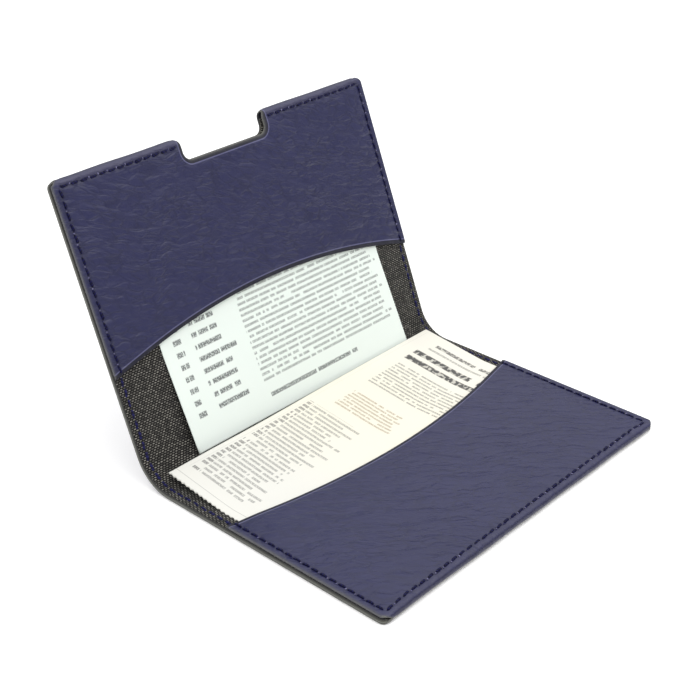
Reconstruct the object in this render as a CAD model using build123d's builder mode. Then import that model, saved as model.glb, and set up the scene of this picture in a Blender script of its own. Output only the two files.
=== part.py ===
from build123d import *
from math import atan, cos, degrees, radians, sin, tan
import os

# Bifold passport holder, standing half open: one strip of lined leather folded across the
# middle, its two ends turned in and sewn down at the sides to make two open-mouthed pockets.
# Millimetres. +X runs along the fold, +Z is up, and the origin is the middle of the flat
# face that the front wing lies on. "Wing" coordinates are u across the strip, d away from
# the fold line and h above the lining, where the fold line is where the two linings' planes meet.

# Driving dimensions
strip_width = 140.0
wing_length = 100.0
leather = 1.1
interliner = 0.5
lining = 0.4
pocket_gap = 0.8

# The fold
bend_angle = 68.0
bend_radius = 13.0
hinge_clearance = 0.05
wedge_margin = 0.5

# Pocket mouths and thumb notch
mouth_at_sides = 35.3
mouth_rise = 10.0
notch_width = 37.0
notch_depth = 8.0
notch_corner = 3.0
pinch_width = 4.5
pinch_slope = 2.0

# Stitching
stitch_inset = 2.5
edge_stitch_inset = 2.7
stitch_pitch = 3.6
stitch_length = 2.7
stitch_width = 0.6
stitch_height = 0.2
groove_width = 0.8
groove_depth = 0.25
row_end = 6.6

# Papers carried in the pockets
paper_clearance = 0.15
certificate_width = 130.6
certificate_length = 89.0
certificate_thickness = 0.5
certificate_start = 4.4
certificate_bend = 34.0
certificate_lift = 0.95
card_width = 105.0
card_length = 74.0
card_thickness = 0.3
card_start = 1.5
card_bend = 36.0
card_lift = 2.45
card_shift = 2.5

# Worked out from the above
strip_thickness = leather + interliner + lining
half_width = strip_width / 2
half_bend = bend_angle / 2
tangent_length = bend_radius * tan(radians(half_bend))
pocket_top = pocket_gap + leather
turn_radius = (strip_thickness + pocket_top) / 2
turn_height = pocket_top - turn_radius
turn_start = wing_length - turn_radius
rest_middle = (tangent_length + turn_start) / 2
wedge_half = half_bend + wedge_margin
mouth_radius = (half_width**2 + mouth_rise**2) / (2 * mouth_rise)
mouth_middle = mouth_at_sides + mouth_rise
notch_floor = wing_length - notch_depth
cover_depths = (lining + interliner, strip_thickness)
interliner_depths = (lining, lining + interliner)
lining_depths = (0.0, lining)
stitch_u = half_width - stitch_inset
stitch_sagitta = stitch_length**2 / (8 * bend_radius)
lining_stitch_radius = bend_radius - stitch_height / 2 - stitch_sagitta
cover_stitch_radius = bend_radius + strip_thickness + stitch_height / 2

# Planes: each wing's own face (x across, y away from the fold) and its section (x away from
# the fold, y up off the lining), and the bend's section (x from its centre to its middle).
rise = cos(radians(bend_angle)), sin(radians(bend_angle))
fold = Vector(0, rest_middle, strip_thickness)
front_wing = Plane(origin=fold, x_dir=(-1, 0, 0), z_dir=(0, 0, 1))
rear_wing = Plane(origin=fold, x_dir=(1, 0, 0), z_dir=(0, -rise[1], rise[0]))
front_section = Plane(origin=fold, x_dir=(0, -1, 0), z_dir=(-1, 0, 0))
rear_section = Plane(origin=fold, x_dir=(0, rise[0], rise[1]), z_dir=(1, 0, 0))
bend_centre = fold + Vector(0, -tangent_length, bend_radius)
bend_out = (0, sin(radians(half_bend)), -cos(radians(half_bend)))
bend_section = Plane(origin=bend_centre, x_dir=bend_out, z_dir=(1, 0, 0))


def bend_point(depth, angle):
    """A point of a wing's section on the bend, at a depth under the lining's face."""
    radius = bend_radius + depth
    return (
        tangent_length - radius * sin(radians(angle)),
        bend_radius - radius * cos(radians(angle)),
    )


def hinge_cut(depth):
    """How far a layer stops short of the hinge, in degrees round the bend."""
    short = depth * tan(radians(wedge_half)) + hinge_clearance
    return degrees(atan(short / (bend_radius + depth)))


def wing_layer(section, inner, outer):
    """One layer of a wing: flat, then round half of the bend, as far as the hinge."""
    inner_end = half_bend - hinge_cut(inner)
    outer_end = half_bend - hinge_cut(outer)
    with BuildPart() as layer:
        with BuildSketch(section):
            with BuildLine():
                Polyline(
                    bend_point(inner, 0), (turn_start, -inner), (turn_start, -outer), bend_point(outer, 0)
                )
                ThreePointArc(
                    bend_point(outer, 0), bend_point(outer, outer_end / 2), bend_point(outer, outer_end)
                )
                Line(bend_point(outer, outer_end), bend_point(inner, inner_end))
                ThreePointArc(
                    bend_point(inner, inner_end), bend_point(inner, inner_end / 2), bend_point(inner, 0)
                )
            make_face()
        extrude(amount=half_width, both=True)
    return layer.part


def notch_tool(wing):
    """The thumb notch, as a block that passes through every layer of the wing."""
    height = wing_length - notch_floor + notch_corner
    with BuildPart() as tool:
        with BuildSketch(wing.offset(-2 * strip_thickness)):
            with Locations((0, notch_floor + height / 2)):
                Rectangle(notch_width, height)
            bottom_corners = vertices().sort_by(Axis.Y)[:2]
            fillet(bottom_corners, radius=notch_corner)
        extrude(amount=4 * strip_thickness)
    return tool.part


def pocket_panel(wing):
    """A turned-in end: an arched mouth, and sides pinched down on to the lining where they are sewn."""
    panel_length = turn_start - mouth_at_sides
    pocket_half = half_width - pinch_width
    with BuildPart() as panel:
        with BuildSketch(wing):
            with BuildLine():
                ThreePointArc(
                    (-half_width, mouth_at_sides), (0, mouth_middle), (half_width, mouth_at_sides)
                )
                Polyline(
                    (half_width, mouth_at_sides),
                    (half_width, turn_start),
                    (-half_width, turn_start),
                    (-half_width, mouth_at_sides),
                )
            make_face()
        extrude(amount=pocket_top)
        with BuildSketch(wing):
            with Locations((0, mouth_at_sides + panel_length / 2)):
                Rectangle(2 * pocket_half, panel_length)
        extrude(amount=pocket_gap, mode=Mode.SUBTRACT)
        across = Plane(origin=wing.origin, x_dir=wing.x_dir, z_dir=wing.y_dir)
        with BuildSketch(across.offset(turn_start)):
            for side in (-1, 1):
                with BuildLine():
                    Polyline(
                        (side * half_width, -pocket_top),
                        (side * half_width, -leather),
                        (side * (half_width - pinch_width), -leather),
                        (side * (half_width - pinch_width - pinch_slope), -pocket_top),
                        close=True,
                    )
                make_face()
        extrude(amount=-panel_length, mode=Mode.SUBTRACT)
    return panel.part


def turned_edge(section, start, end):
    """The leather rolled over the end of the wing, from u = start to u = end."""
    centre = (turn_start, turn_height)
    with BuildPart() as roll:
        with BuildSketch(section.offset(start)):
            with Locations(centre):
                Circle(turn_radius)
                Circle(turn_radius - leather, mode=Mode.SUBTRACT)
            with Locations((turn_start - turn_radius, turn_height)):
                Rectangle(2 * turn_radius, 2 * turn_radius, mode=Mode.SUBTRACT)
        extrude(amount=end - start)
    return roll.part


def stitch_row(wing, places, height, along_fold=False):
    """Separate stitches lying on the face at this height, at (u, d) places."""
    size = (stitch_length, stitch_width) if along_fold else (stitch_width, stitch_length)
    with BuildPart() as row:
        with BuildSketch(wing.offset(height)):
            with Locations(*places):
                Rectangle(*size)
        extrude(amount=stitch_height)
    return row.part


def bend_stitches(u, angles):
    """Stitches round the bend at u: one on the lining and one on the cover at each angle."""
    with BuildPart() as stitches:
        with BuildSketch(bend_section.offset(u - stitch_width / 2)):
            for radius in (lining_stitch_radius, cover_stitch_radius):
                for angle in angles:
                    with PolarLocations(radius, 1, start_angle=angle):
                        Rectangle(stitch_height, stitch_length)
        extrude(amount=stitch_width)
    return stitches.part


def row_places(start, end):
    """Evenly pitched stitch middles from start to end."""
    count = round((end - start - stitch_length) / stitch_pitch) + 1
    pitch = (end - start - stitch_length) / (count - 1)
    return [start + stitch_length / 2 + pitch * step for step in range(count)]


def mouth_distance(u):
    """How far a pocket's mouth is from the fold line at u."""
    return mouth_middle - mouth_radius + (mouth_radius**2 - u**2) ** 0.5


# Stitch places, shared by the thread and by the grooves that it is sunk into
lining_row = row_places(tangent_length + 0.8, mouth_distance(stitch_u) - 0.8)
pocket_row = row_places(mouth_distance(stitch_u) + 0.8, wing_length - row_end)
bend_row = (12.2, 27.6)
edge_d = wing_length - edge_stitch_inset
edge_end = half_width - pinch_width - pinch_slope
edge_row = row_places(-edge_end, edge_end)
notch_side_row = row_places(notch_width / 2 + 2.5, edge_end)
cover_face = -strip_thickness + groove_depth - stitch_height


def cut_grooves(cover, wing, edge_spans):
    """The cover with the shallow grooves that keep its stitches below its outer face."""
    with BuildPart() as grooved:
        add(cover)
        with BuildSketch(wing.offset(-strip_thickness)):
            side_length = wing_length - row_end - tangent_length
            with Locations(*[(side * stitch_u, tangent_length + side_length / 2) for side in (-1, 1)]):
                Rectangle(groove_width, side_length)
            for start, end in edge_spans:
                with Locations(((start + end) / 2, edge_d)):
                    Rectangle(end - start, groove_width)
        extrude(amount=groove_depth, mode=Mode.SUBTRACT)
    return grooved.part


def side_thread(wing, u, bend_angles):
    """One side seam of a wing: along the lining, over the pocket, and behind on the cover."""
    side = u if wing is rear_wing else -u
    places = [(side, d) for d in lining_row]
    pocket_places = [(side, d) for d in pocket_row]
    thread = stitch_row(wing, places, 0)
    thread += stitch_row(wing, pocket_places, leather)
    thread += stitch_row(wing, places + pocket_places, cover_face)
    return thread + bend_stitches(u, bend_angles)


def edge_thread(wing, us):
    """The seam beside a turned edge, on the pocket and behind on the cover."""
    places = [(u, edge_d) for u in us]
    return stitch_row(wing, places, pocket_top, True) + stitch_row(wing, places, cover_face, True)


def paper(section, start, length, thickness, bend_at, lift, near_u, far_u):
    """A stiff sheet, flat in its pocket and lifting off the lining outside it."""
    low = paper_clearance
    with BuildPart() as sheet:
        with BuildSketch(section.offset(near_u)):
            with BuildLine():
                Polyline(
                    (start, low + lift),
                    (bend_at, low),
                    (start + length, low),
                    (start + length, low + thickness),
                    (bend_at, low + thickness),
                    (start, low + lift + thickness),
                    close=True,
                )
            make_face()
        extrude(amount=far_u - near_u)
    return sheet.part


# Front wing: lies flat on the table
front_cover = cut_grooves(wing_layer(front_section, *cover_depths), front_wing, [(-edge_end, edge_end)])
front_interliner = wing_layer(front_section, *interliner_depths)
front_lining = wing_layer(front_section, *lining_depths)
front_turned_edge = turned_edge(front_section, -half_width, half_width)
front_pocket = pocket_panel(front_wing)
front_thread_left = side_thread(front_wing, -stitch_u, [-angle for angle in bend_row])
front_thread_right = side_thread(front_wing, stitch_u, [-angle for angle in bend_row])
front_thread_edge = edge_thread(front_wing, edge_row)

# Rear wing: leans back, with the thumb notch in its far edge
notch = notch_tool(rear_wing)
edge_spans = [(-edge_end, -notch_width / 2), (notch_width / 2, edge_end)]
rear_cover = cut_grooves(wing_layer(rear_section, *cover_depths), rear_wing, edge_spans) - notch
rear_interliner = wing_layer(rear_section, *interliner_depths) - notch
rear_lining = wing_layer(rear_section, *lining_depths) - notch
rear_turned_edge_left = turned_edge(rear_section, -half_width, -notch_width / 2)
rear_turned_edge_right = turned_edge(rear_section, notch_width / 2, half_width)
rear_pocket = pocket_panel(rear_wing) - notch
rear_thread_left = side_thread(rear_wing, -stitch_u, bend_row)
rear_thread_right = side_thread(rear_wing, stitch_u, bend_row)
rear_thread_edge_left = edge_thread(rear_wing, [-u for u in notch_side_row])
rear_thread_edge_right = edge_thread(rear_wing, notch_side_row)

# Papers
folded_certificate = paper(
    front_section,
    certificate_start,
    certificate_length,
    certificate_thickness,
    certificate_bend,
    certificate_lift,
    -certificate_width / 2,
    certificate_width / 2,
)
insurance_card = paper(
    rear_section,
    card_start,
    card_length,
    card_thickness,
    card_bend,
    card_lift,
    card_shift - card_width / 2,
    card_shift + card_width / 2,
)

pieces = {
    "front_cover": front_cover,
    "front_interliner": front_interliner,
    "front_lining": front_lining,
    "front_turned_edge": front_turned_edge,
    "front_pocket": front_pocket,
    "front_thread_left": front_thread_left,
    "front_thread_right": front_thread_right,
    "front_thread_edge": front_thread_edge,
    "rear_cover": rear_cover,
    "rear_interliner": rear_interliner,
    "rear_lining": rear_lining,
    "rear_turned_edge_left": rear_turned_edge_left,
    "rear_turned_edge_right": rear_turned_edge_right,
    "rear_pocket": rear_pocket,
    "rear_thread_left": rear_thread_left,
    "rear_thread_right": rear_thread_right,
    "rear_thread_edge_left": rear_thread_edge_left,
    "rear_thread_edge_right": rear_thread_edge_right,
    "folded_certificate": folded_certificate,
    "insurance_card": insurance_card,
}

os.makedirs("parts", exist_ok=True)
for name, piece in pieces.items():
    piece.label = name
    export_step(piece, f"parts/{name}.step")
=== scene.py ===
import math

import bmesh
import bpy
import numpy as np
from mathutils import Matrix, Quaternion, Vector
from mathutils.geometry import delaunay_2d_cdt


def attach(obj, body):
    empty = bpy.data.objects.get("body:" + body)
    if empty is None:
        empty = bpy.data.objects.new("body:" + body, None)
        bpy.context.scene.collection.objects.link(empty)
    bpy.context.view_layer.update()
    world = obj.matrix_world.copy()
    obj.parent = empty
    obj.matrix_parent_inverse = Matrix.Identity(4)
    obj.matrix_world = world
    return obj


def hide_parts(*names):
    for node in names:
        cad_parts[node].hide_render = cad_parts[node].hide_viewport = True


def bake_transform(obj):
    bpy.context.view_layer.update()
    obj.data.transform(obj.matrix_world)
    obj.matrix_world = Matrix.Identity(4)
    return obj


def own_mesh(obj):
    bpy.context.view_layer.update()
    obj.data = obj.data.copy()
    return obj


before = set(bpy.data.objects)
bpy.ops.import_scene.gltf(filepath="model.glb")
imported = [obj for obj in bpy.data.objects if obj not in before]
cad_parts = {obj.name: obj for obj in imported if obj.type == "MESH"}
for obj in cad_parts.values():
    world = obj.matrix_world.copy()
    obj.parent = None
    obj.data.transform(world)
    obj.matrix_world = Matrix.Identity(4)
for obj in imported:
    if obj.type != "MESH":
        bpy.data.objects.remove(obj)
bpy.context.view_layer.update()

# ---- dimensions, in millimetres
# Strip coordinates: x across, s along the lining from the middle of the bend (minus towards the
# front wing), h above the lining. A wing's own d is the distance from the line where the linings'
# planes meet.
MM = 1000  # millimetres in a metre
HALF = 70.0  # half the strip's width
LENGTH = 100.0  # d of a wing's far edge
LEATHER = 1.1
STACK = 2.0  # cover, interliner and lining together
POCKET_TOP = 1.9  # h of a pocket's outer face
POCKET_SIDE = 1.3  # the same where the side seams pinch it
BEND_R = 13.0  # the lining's radius in the bend
HALF_BEND = math.radians(34)
TANGENT = BEND_R * math.tan(HALF_BEND)  # d where the bend ends
BEND_S = BEND_R * HALF_BEND  # s where the bend ends
ROLL_R = (STACK + POCKET_TOP) / 2  # outside radius of a turned edge
SIDE_ROLL_R = (STACK + POCKET_SIDE) / 2  # the same at the side seams
ROLL_D = LENGTH - ROLL_R  # d where the leather starts to turn
ROLL_ARC = math.pi * (ROLL_R - LEATHER / 2)  # how much leather the turn takes
COVER_S = BEND_S + ROLL_D - TANGENT  # q where the cover ends
POCKET_S = COVER_S + ROLL_ARC  # q where the pocket starts
ROLL_MIDDLE = (COVER_S + POCKET_S) / 2  # q halfway round the turn
FOLD_Y = (TANGENT + ROLL_D) / 2  # y of the fold line in the frame
MOUTH_SIDE = 35.3  # d of a pocket's mouth at the sides
MOUTH_RISE = 10.0  # how much further it is in the middle
MOUTH_R = (HALF**2 + MOUTH_RISE**2) / (2 * MOUTH_RISE)
MOUTH_Y = MOUTH_SIDE + MOUTH_RISE - MOUTH_R  # d of the middle of the mouth's arc
MOUTH_Q = POCKET_S + ROLL_D - MOUTH_Y  # q of the same
NOTCH_HALF = 18.5
NOTCH_D = 92.0  # d of the notch's floor
NOTCH_R = 3.0
NOTCH_REACH = ROLL_D - NOTCH_D + ROLL_ARC / 2  # q from ROLL_MIDDLE to the notch's floor
CORNER_R = 3.0
ROW_X = HALF - 2.5  # x of the side seams
ROW_D = LENGTH - 2.7  # d of the seams beside the turned edges
ROW_END = 3.6  # how far from the far edge a side seam stops
ROW_GAP = 0.8  # how far from a mouth a side seam stops
STITCH = 2.7
PITCH = 3.6
CREASE_D = 1.45  # from a mouth or the notch to the line pressed beside it
FAR = 99.0  # further from an edge than matters

rng = np.random.default_rng(7)


def smooth(t):
    t = np.clip(t, 0, 1)
    return t * t * (3 - 2 * t)


def strip(x, s, h):
    """Strip coordinates to the frame, in millimetres."""
    past = np.maximum(np.abs(s) - BEND_S, 0)
    turn = np.clip(s / BEND_R, -HALF_BEND, HALF_BEND) + HALF_BEND
    radius = BEND_R - h
    rear = np.where(s > 0, past, 0)
    front = np.where(s < 0, past, 0)
    y = FOLD_Y - TANGENT + radius * np.sin(turn) - front + rear * math.cos(2 * HALF_BEND)
    z = STACK + BEND_R - radius * np.cos(turn) + rear * math.sin(2 * HALF_BEND)
    return np.stack([x + 0 * y, y, z], -1)


def straight(side, x, d, h):
    """A paper's x, d and h to the frame: straight, in the rear (1) or front (-1) wing."""
    turn = 2 * HALF_BEND if side > 0 else 0.0
    y = FOLD_Y + side * d * math.cos(turn) - h * math.sin(turn)
    z = STACK + d * math.sin(turn) + h * math.cos(turn)
    return np.stack([x + 0 * y, y, z], -1)


def waves(x, y, size, count, seed):
    """A smooth field of about -1 to 1, the sum of a few waves about size millimetres long."""
    r = np.random.default_rng(seed)
    total = 0 * x
    for _ in range(count):
        angle = r.uniform(0, math.tau)
        rate = math.tau / (size * r.uniform(0.7, 1.5))
        start = r.uniform(0, math.tau)
        total = total + np.sin((x * math.cos(angle) + y * math.sin(angle)) * rate + start)
    return total / math.sqrt(count)


def bell(t):
    return np.exp(-(t**2))


# ---- meshes
def make_object(name, points, faces, fields, smooth_shade=True):
    """A mesh object from points in millimetres, with its named float or vector point fields.

    Its faces are turned to look out of the closed shapes that they make."""
    mesh = bpy.data.meshes.new(name)
    mesh.from_pydata((np.asarray(points) / MM).tolist(), [], faces)
    work = bmesh.new()
    work.from_mesh(mesh)
    bmesh.ops.recalc_face_normals(work, faces=work.faces)
    work.to_mesh(mesh)
    work.free()
    for key, values in fields.items():
        values = np.asarray(values, np.float32)
        kind = "FLOAT_VECTOR" if values.ndim == 2 else "FLOAT"
        attribute = mesh.attributes.new(key, kind, "POINT")
        attribute.data.foreach_set("vector" if values.ndim == 2 else "value", values.ravel())
    mesh.polygons.foreach_set("use_smooth", [smooth_shade] * len(mesh.polygons))
    mesh.update()
    piece = bpy.data.objects.new(name, mesh)
    bpy.context.scene.collection.objects.link(piece)
    return piece


def resample(loop, step):
    """A closed loop again, with points about step apart."""
    closed = np.vstack([loop, loop[:1]])
    along = np.concatenate([[0], np.cumsum(np.linalg.norm(np.diff(closed, axis=0), axis=1))])
    count = max(8, round(along[-1] / step))
    at = np.arange(count) * along[-1] / count
    return np.stack([np.interp(at, along, closed[:, k]) for k in (0, 1)], -1)


def inward(loop, distance):
    """A counter-clockwise loop moved to its left; a clockwise one, round a hole, away from it."""
    tangent = np.roll(loop, -1, 0) - np.roll(loop, 1, 0)
    tangent /= np.linalg.norm(tangent, axis=1)[:, None] + 1e-9
    return loop + distance * np.stack([-tangent[:, 1], tangent[:, 0]], -1)


def thin_out(kept, new, gap):
    """The new points that are no nearer than gap to a kept one or to each other."""
    taken = {}
    def near(p):
        i, j = int(p[0] // gap), int(p[1] // gap)
        for a in (i - 1, i, i + 1):
            for b in (j - 1, j, j + 1):
                for q in taken.get((a, b), ()):
                    if (q[0] - p[0]) ** 2 + (q[1] - p[1]) ** 2 < gap * gap:
                        return True
        return False
    for p in kept:
        taken.setdefault((int(p[0] // gap), int(p[1] // gap)), []).append(p)
    chosen = []
    for p in new:
        if not near(p):
            taken.setdefault((int(p[0] // gap), int(p[1] // gap)), []).append(p)
            chosen.append(p)
    return np.array(chosen).reshape(-1, 2)


def enclosed(loops, points):
    """Which points are inside the outer loop and outside the holes."""
    x, y = points.T
    odd = np.zeros(len(points), bool)
    for loop in loops:
        for (ax, ay), (bx, by) in zip(loop, np.roll(loop, -1, 0)):
            if ay != by:
                odd ^= ((ay > y) != (by > y)) & (x < ax + (bx - ax) * (y - ay) / (by - ay))
    return odd


def triangulate(loops, rings, depth, clouds):
    """Points and triangles that fill the loops.

    depth(points) is how far inside the edge a point is; rings are the depths that get rows of
    points; clouds are (points, gap) to fill in with."""
    points = [np.vstack(loops)]
    for ring in rings:
        for loop in loops:
            row = inward(loop, ring)
            points.append(row[depth(row) > ring * 0.8])
    points = np.vstack(points)
    for cloud, gap in clouds:
        cloud = cloud[depth(cloud) > rings[-1] + gap * 0.6]
        points = np.vstack([points, thin_out(points, cloud, gap)])
    edges, start = [], 0
    for loop in loops:
        n = len(loop)
        edges += [(start + i, start + (i + 1) % n) for i in range(n)]
        start += n
    out, _, faces, origin, _, _ = delaunay_2d_cdt([Vector(p) for p in points], edges, [], 0, 1e-7)
    origin = np.array([o[0] for o in origin])
    faces = origin[np.array(faces)]
    middle = points[faces].mean(1)
    faces = faces[enclosed(loops, middle)]
    a, b, c = (points[faces[:, k]] for k in range(3))
    area = (b[:, 0] - a[:, 0]) * (c[:, 1] - a[:, 1]) - (b[:, 1] - a[:, 1]) * (c[:, 0] - a[:, 0])
    faces = np.where((area > 0)[:, None], faces, faces[:, ::-1])
    return points, faces[np.abs(area) > 1e-9]


def thick(name, loops, faces, top, bottom, fields):
    """A closed sheet: its top and bottom points on the same triangles, joined round the loops.

    A field is one value per point for both faces, or a pair: the top's values, the bottom's."""
    n = len(top)
    solid = faces.tolist() + (faces[:, ::-1] + n).tolist()
    start = 0
    for loop in loops:
        m = len(loop)
        for i in range(m):
            a, b = start + i, start + (i + 1) % m
            solid.append((a + n, b + n, b, a))
        start += m
    doubled = {key: np.concatenate(value if isinstance(value, tuple) else (value, value))
               for key, value in fields.items()}
    return make_object(name, np.vstack([top, bottom]), solid, doubled)


def grid(x0, x1, dx, y0, y1, dy):
    """Points in rows, with every other row moved half a step."""
    xs = np.arange(x0, x1 + 1e-6, dx)
    ys = np.arange(y0, y1 + 1e-6, dy)
    gx, gy = np.meshgrid(xs, ys)
    gx = gx + (np.arange(len(ys)) % 2)[:, None] * dx / 2
    return np.stack([gx.ravel(), gy.ravel()], -1)


# ---- the leather strip
# Leather coordinates: x across and q along the leather from the middle of the bend: round the
# bend, along the cover, round the turned edge and back along the pocket to its mouth.
def pocket_height(x):
    return POCKET_TOP - (POCKET_TOP - POCKET_SIDE) * smooth((np.abs(x) - 58.0) / 11.0)


def half_width_at(d):
    """Half the strip's width at d: less where its far corners are rounded."""
    past = np.maximum(d - LENGTH + CORNER_R, 0)
    corner = np.sqrt(np.maximum(CORNER_R**2 - past**2, 0))
    return np.where(d > LENGTH - CORNER_R, HALF - CORNER_R + corner, HALF)


def turn_at(m):
    """How far round the turned edge the leather is at |q| = m, as an angle from 0 to pi."""
    return np.clip((m - COVER_S) / ROLL_ARC, 0, 1) * math.pi


def half_width(q):
    m = np.abs(q)
    cover = m - BEND_S + TANGENT
    roll = LENGTH - SIDE_ROLL_R + SIDE_ROLL_R * np.sin(turn_at(m))
    pocket = ROLL_D - (m - POCKET_S)
    return half_width_at(np.where(m < COVER_S, cover, np.where(m < POCKET_S, roll, pocket)))


def mouth_q(x):
    """The q of a pocket's mouth at x."""
    return MOUTH_Q - np.sqrt(MOUTH_R**2 - x**2)


def notch_half(q):
    """Half the notch's width at q: its mouth is rounded where the leather turns."""
    flare, over = 1.2, 1.7
    return NOTCH_HALF + flare * bell((np.abs(q) - ROLL_MIDDLE) / over)


def edge_depth(p):
    """How far inside the sides, the pockets' mouths and the notch a point of the leather is."""
    x, q = p[:, 0], p[:, 1]
    side = half_width(q) - np.abs(x)
    mouth = np.hypot(x, ROLL_D - (np.abs(q) - POCKET_S) - MOUTH_Y) - MOUTH_R
    mouth = np.where(np.abs(q) > POCKET_S, mouth, FAR)
    past_x = np.abs(x) - notch_half(q) + NOTCH_R
    past_q = np.abs(q - ROLL_MIDDLE) - NOTCH_REACH + NOTCH_R
    outside = np.hypot(np.maximum(past_x, 0), np.maximum(past_q, 0))
    notch = outside + np.minimum(np.maximum(past_x, past_q), 0) - NOTCH_R
    return side, mouth, notch


def leather_depth(p):
    return np.minimum.reduce(edge_depth(p))


def row_marks(start, end):
    """Evenly pitched stitch middles from start to end."""
    count = round((end - start - STITCH) / PITCH) + 1
    step = (end - start - STITCH) / (count - 1)
    return start + STITCH / 2 + step * np.arange(count)


def seam_rows():
    """Each row of stitches on the leather: (x, q) middles and True where it runs along x."""
    near_roll = ROLL_D - (LENGTH - ROW_END)
    roll_gap = ROLL_D - ROW_D
    row_end_x = ROW_X - 0.6
    beside_notch = NOTCH_HALF + 2.5
    mouth = float(mouth_q(np.array(ROW_X)))
    rows = []
    for sx in (-1, 1):
        cover = row_marks(-COVER_S + near_roll, COVER_S - near_roll)
        rows.append((np.full(len(cover), sx * ROW_X), cover, False))
        for side in (-1, 1):
            pocket = row_marks(POCKET_S + near_roll, mouth - ROW_GAP)
            rows.append((np.full(len(pocket), sx * ROW_X), side * pocket, False))
    for q in (-COVER_S + roll_gap, -POCKET_S - roll_gap):
        marks = row_marks(-row_end_x, row_end_x)
        rows.append((marks, np.full(len(marks), q), True))
    for q in (COVER_S - roll_gap, POCKET_S + roll_gap):
        marks = row_marks(beside_notch, row_end_x)
        for sx in (-1, 1):
            rows.append((sx * marks, np.full(len(marks), q), True))
    return rows


ROWS = seam_rows()


def sewn_in(x, q):
    """How deep the seams press the leather in, in millimetres."""
    trough_deep, hole_deep, pull_deep, rise_between = 0.12, 0.22, 0.11, 0.16
    deep = np.zeros(len(x))
    for mx, mq, along_x in ROWS:
        u, v = (x, q) if along_x else (q, x)
        mu, mv = (mx, mq[0]) if along_x else (mq, mx[0])
        lo, hi = mu.min() - STITCH / 2, mu.max() + STITCH / 2
        off = np.abs(v - mv)
        near = (off < 3.2) & (u > lo - 2) & (u < hi + 2)
        if not near.any():
            continue
        u, off = u[near], off[near]
        past = np.maximum(np.maximum(lo - u, u - hi), 0)
        in_row = past == 0
        gap = np.abs(u[:, None] - mu[None, :]).min(1)
        trough = trough_deep * np.exp(-((off / 0.8) ** 2) - (past / 0.6) ** 2)
        at_end = ((gap - STITCH / 2 - 0.05) / 0.34) ** 2
        hole = hole_deep * np.exp(-at_end - (off / 0.36) ** 2)
        pull = pull_deep * (0.5 - 0.5 * np.cos(math.tau * gap / PITCH)) * bell(off / 1.5) * in_row
        at_middle = ((gap - PITCH / 2) / 0.28) ** 2
        between = -rise_between * np.exp(-at_middle - (off / 0.42) ** 2) * in_row
        deep[near] = np.maximum(deep[near], trough + hole + pull + between)
    return deep


def place_leather(x, q, t):
    """A point of the leather, t under its outer face, in the frame in millimetres."""
    gape_most, gape_deep, gape_half = 0.22, 14, 63
    top = pocket_height(x)
    r = (STACK + top) / 2
    centre = BEND_S + (LENGTH - r) - TANGENT
    m, sign = np.abs(q), np.where(q < 0, -1.0, 1.0)
    turn = turn_at(m)
    stretched = BEND_S + (m - BEND_S) * (centre - BEND_S) / (COVER_S - BEND_S)
    cover_s = np.where(m < BEND_S, m, stretched)
    mouth = MOUTH_Y + np.sqrt(MOUTH_R**2 - np.minimum(np.abs(x), HALF) ** 2)
    scale = (LENGTH - r - mouth) / (ROLL_D - mouth)
    pocket_s = centre - (m - POCKET_S) * scale
    from_mouth = np.maximum(mouth_q(np.clip(np.abs(x), 0, HALF)) - m, 0)
    gape = gape_most * np.exp(-(from_mouth / gape_deep) ** 2)
    gape = gape * smooth(1 - (np.abs(x) / gape_half) ** 2) * (m > POCKET_S)
    roll_s, roll_h = centre + (r - t) * np.sin(turn), top - r - (r - t) * np.cos(turn)
    s = np.where(m < COVER_S, cover_s, np.where(m < POCKET_S, roll_s, pocket_s))
    h = np.where(m < COVER_S, -STACK + t, np.where(m < POCKET_S, roll_h, top + gape - t))
    return strip(x, sign * s, h)


def leather_outline():
    """The strip's outline, in x and q, and the hole that becomes the notch, clockwise."""
    qs = np.concatenate([np.arange(-164, -90, 0.6), np.arange(-90, 90, 0.7),
                         np.arange(90, 164, 0.6)])
    corner_q = float(mouth_q(np.array(HALF)))
    corner_cut = 0.105
    qs = qs[np.abs(qs) < corner_q - 0.45]
    xs = np.arange(-69.4, 69.5, 0.7)
    right = np.stack([half_width(qs), qs], -1)
    rear = np.stack([xs[::-1], mouth_q(xs[::-1])], -1)
    left = np.stack([-half_width(qs[::-1]), qs[::-1]], -1)
    front = np.stack([xs, -mouth_q(xs)], -1)
    def corner(sx, sq):
        return np.array([[sx * (HALF - corner_cut), sq * (corner_q - corner_cut)]])
    outer = np.vstack([right, corner(1, 1), rear, corner(-1, 1), left, corner(-1, -1), front,
                       corner(1, -1)])
    outer = resample(outer, 0.62)
    hole = []
    for cx, cq, a0 in ((1, 1, 0), (-1, 1, 90), (-1, -1, 180), (1, -1, 270)):
        for a in np.radians(np.linspace(a0, a0 + 90, 10)):
            hole.append((cx * (NOTCH_HALF - NOTCH_R) + NOTCH_R * math.cos(a),
                         ROLL_MIDDLE + cq * (NOTCH_REACH - NOTCH_R) + NOTCH_R * math.sin(a)))
    hole = resample(np.array(hole), 0.5)[::-1]
    hole[:, 0] += np.sign(hole[:, 0]) * (notch_half(hole[:, 1]) - NOTCH_HALF)
    return [outer, hole]


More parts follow.
